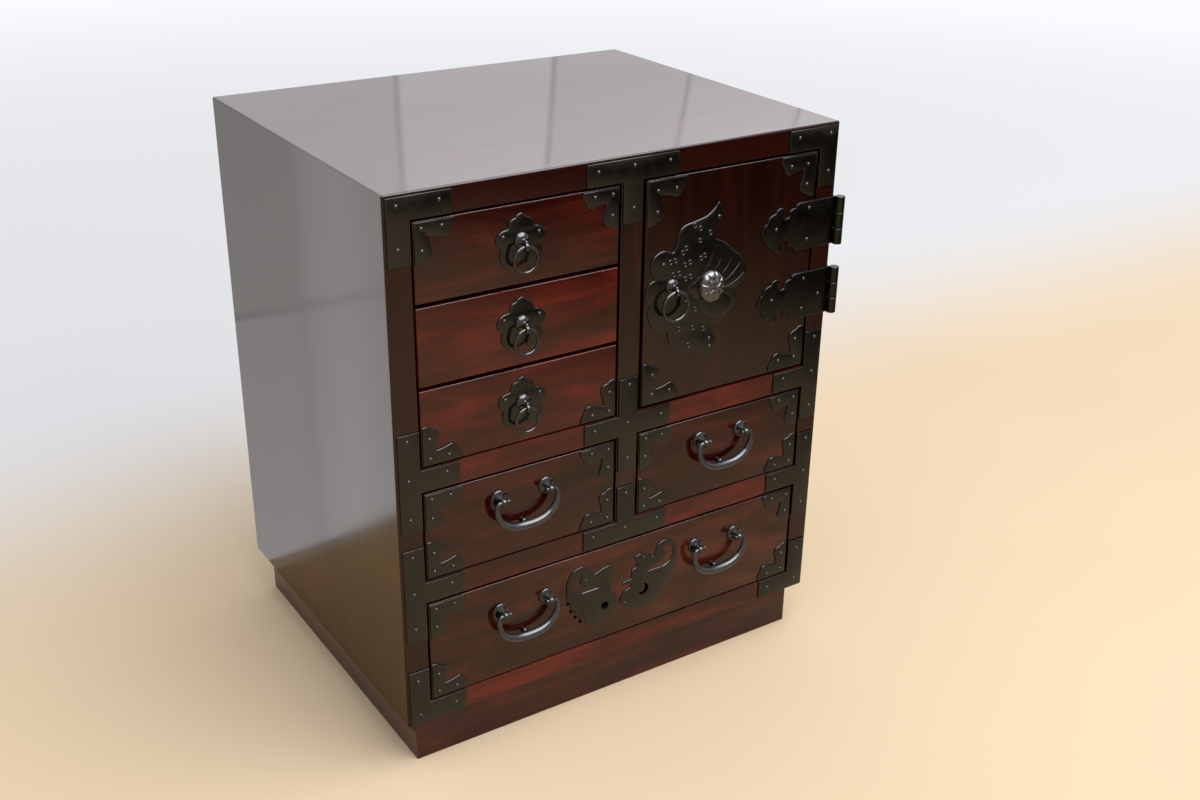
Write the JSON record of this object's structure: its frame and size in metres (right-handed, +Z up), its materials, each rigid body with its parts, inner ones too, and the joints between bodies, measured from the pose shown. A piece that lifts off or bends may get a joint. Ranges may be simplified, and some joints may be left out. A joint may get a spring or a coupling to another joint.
{
  "type": "tansu chest",
  "caption": "Small ironbound lacquered tansu chest on a plinth, with stacked drawers, a hinged door, ring pulls, bail handles and cut iron plates.",
  "frame": {"origin": "on the floor under the middle of the chest's box, with the drawers and the door closed", "axes": "+Z up, -Y out of the front with the drawers, +X to the right as seen from the front"},
  "size_m": [0.4594, 0.3746, 0.531],
  "materials": {
    "case_lacquer": "glossy dark lacquer",
    "front_lacquer": "glossy red lacquer",
    "pale_wood": "bare planed wood",
    "plate_iron": "black satin",
    "bright_iron": "black gloss"
  },
  "bodies": {
    "case": {"plinth": "case_lacquer", "top_board": "case_lacquer", "left_side": "case_lacquer", "right_side": "case_lacquer", "bottom_board": "case_lacquer", "back_panel": "pale_wood", "lower_shelf": "case_lacquer", "centre_divider": "case_lacquer", "left_shelf": "case_lacquer", "right_shelf": "case_lacquer", "drawer_runner_1": "pale_wood", "drawer_runner_2": "pale_wood", "corner_iron_top_left": "plate_iron", "corner_iron_top_right": "plate_iron", "corner_iron_bottom_left": "plate_iron", "corner_iron_bottom_right": "plate_iron", "top_centre_iron": "plate_iron", "centre_cross_iron": "plate_iron", "lower_centre_iron": "plate_iron", "side_iron_upper_left": "plate_iron", "side_iron_upper_right": "plate_iron", "side_iron_lower_left": "plate_iron", "side_iron_lower_right": "plate_iron", "upper_hinge_leaf": "plate_iron", "lower_hinge_leaf": "plate_iron"},
    "door": {"door_panel": "front_lacquer", "upper_hinge_strap": "plate_iron", "lower_hinge_strap": "plate_iron", "butterfly_plate": "plate_iron"},
    "door_ring": {"door_ring": "bright_iron"},
    "small_drawer_1": {"small_drawer_1_front": "front_lacquer", "small_drawer_1_box": "pale_wood", "small_drawer_1_flower_plate": "plate_iron"},
    "small_drawer_1_ring": {"small_drawer_1_ring": "bright_iron"},
    "small_drawer_2": {"small_drawer_2_front": "front_lacquer", "small_drawer_2_box": "pale_wood", "small_drawer_2_flower_plate": "plate_iron"},
    "small_drawer_2_ring": {"small_drawer_2_ring": "bright_iron"},
    "small_drawer_3": {"small_drawer_3_front": "front_lacquer", "small_drawer_3_box": "pale_wood", "small_drawer_3_flower_plate": "plate_iron"},
    "small_drawer_3_ring": {"small_drawer_3_ring": "bright_iron"},
    "middle_drawer_left": {"middle_drawer_left_front": "front_lacquer", "middle_drawer_left_box": "pale_wood", "middle_drawer_left_post_left": "bright_iron", "middle_drawer_left_post_right": "bright_iron"},
    "middle_drawer_left_bail": {"middle_drawer_left_bail": "bright_iron"},
    "middle_drawer_right": {"middle_drawer_right_front": "front_lacquer", "middle_drawer_right_box": "pale_wood", "middle_drawer_right_post_left": "bright_iron", "middle_drawer_right_post_right": "bright_iron"},
    "middle_drawer_right_bail": {"middle_drawer_right_bail": "bright_iron"},
    "bottom_drawer": {"bottom_drawer_front": "front_lacquer", "bottom_drawer_box": "pale_wood", "bottom_drawer_left_post_left": "bright_iron", "bottom_drawer_left_post_right": "bright_iron", "bottom_drawer_right_post_left": "bright_iron", "bottom_drawer_right_post_right": "bright_iron"},
    "bottom_drawer_left_bail": {"bottom_drawer_left_bail": "bright_iron"},
    "bottom_drawer_right_bail": {"bottom_drawer_right_bail": "bright_iron"}
  },
  "joints": [
    {"name": "door_hinge", "type": "hinge", "parent": "case", "child": "door", "pos_m": [0.22515, -0.17725, 0.403], "axis": [0, 0, 1], "range_deg": [0, 180]},
    {"name": "door_ring_swing", "type": "hinge", "parent": "door", "child": "door_ring", "pos_m": [0.03885, -0.18275, 0.4055], "axis": [-1, 0, 0], "range_deg": [0, 90]},
    {"name": "small_drawer_1_slide", "type": "slide", "parent": "case", "child": "small_drawer_1", "axis": [0, -1, 0], "range_m": [0, 0.24]},
    {"name": "small_drawer_1_ring_swing", "type": "hinge", "parent": "small_drawer_1", "child": "small_drawer_1_ring", "pos_m": [-0.11115, -0.18275, 0.47332], "axis": [-1, 0, 0], "range_deg": [0, 90]},
    {"name": "small_drawer_2_slide", "type": "slide", "parent": "case", "child": "small_drawer_2", "axis": [0, -1, 0], "range_m": [0, 0.24]},
    {"name": "small_drawer_2_ring_swing", "type": "hinge", "parent": "small_drawer_2", "child": "small_drawer_2_ring", "pos_m": [-0.11115, -0.18275, 0.40265], "axis": [-1, 0, 0], "range_deg": [0, 90]},
    {"name": "small_drawer_3_slide", "type": "slide", "parent": "case", "child": "small_drawer_3", "axis": [0, -1, 0], "range_m": [0, 0.24]},
    {"name": "small_drawer_3_ring_swing", "type": "hinge", "parent": "small_drawer_3", "child": "small_drawer_3_ring", "pos_m": [-0.11115, -0.18275, 0.33198], "axis": [-1, 0, 0], "range_deg": [0, 90]},
    {"name": "middle_drawer_left_slide", "type": "slide", "parent": "case", "child": "middle_drawer_left", "axis": [0, -1, 0], "range_m": [0, 0.24]},
    {"name": "middle_drawer_left_bail_swing", "type": "hinge", "parent": "middle_drawer_left", "child": "middle_drawer_left_bail", "pos_m": [-0.11165, -0.18305, 0.24945], "axis": [-1, 0, 0], "range_deg": [0, 90]},
    {"name": "middle_drawer_right_slide", "type": "slide", "parent": "case", "child": "middle_drawer_right", "axis": [0, -1, 0], "range_m": [0, 0.24]},
    {"name": "middle_drawer_right_bail_swing", "type": "hinge", "parent": "middle_drawer_right", "child": "middle_drawer_right_bail", "pos_m": [0.10235, -0.18305, 0.24945], "axis": [-1, 0, 0], "range_deg": [0, 90]},
    {"name": "bottom_drawer_slide", "type": "slide", "parent": "case", "child": "bottom_drawer", "axis": [0, -1, 0], "range_m": [0, 0.24]},
    {"name": "bottom_drawer_left_bail_swing", "type": "hinge", "parent": "bottom_drawer", "child": "bottom_drawer_left_bail", "pos_m": [-0.11165, -0.18305, 0.13545], "axis": [-1, 0, 0], "range_deg": [0, 90]},
    {"name": "bottom_drawer_right_bail_swing", "type": "hinge", "parent": "bottom_drawer", "child": "bottom_drawer_right_bail", "pos_m": [0.10235, -0.18305, 0.13545], "axis": [-1, 0, 0], "range_deg": [0, 90]}
  ]
}
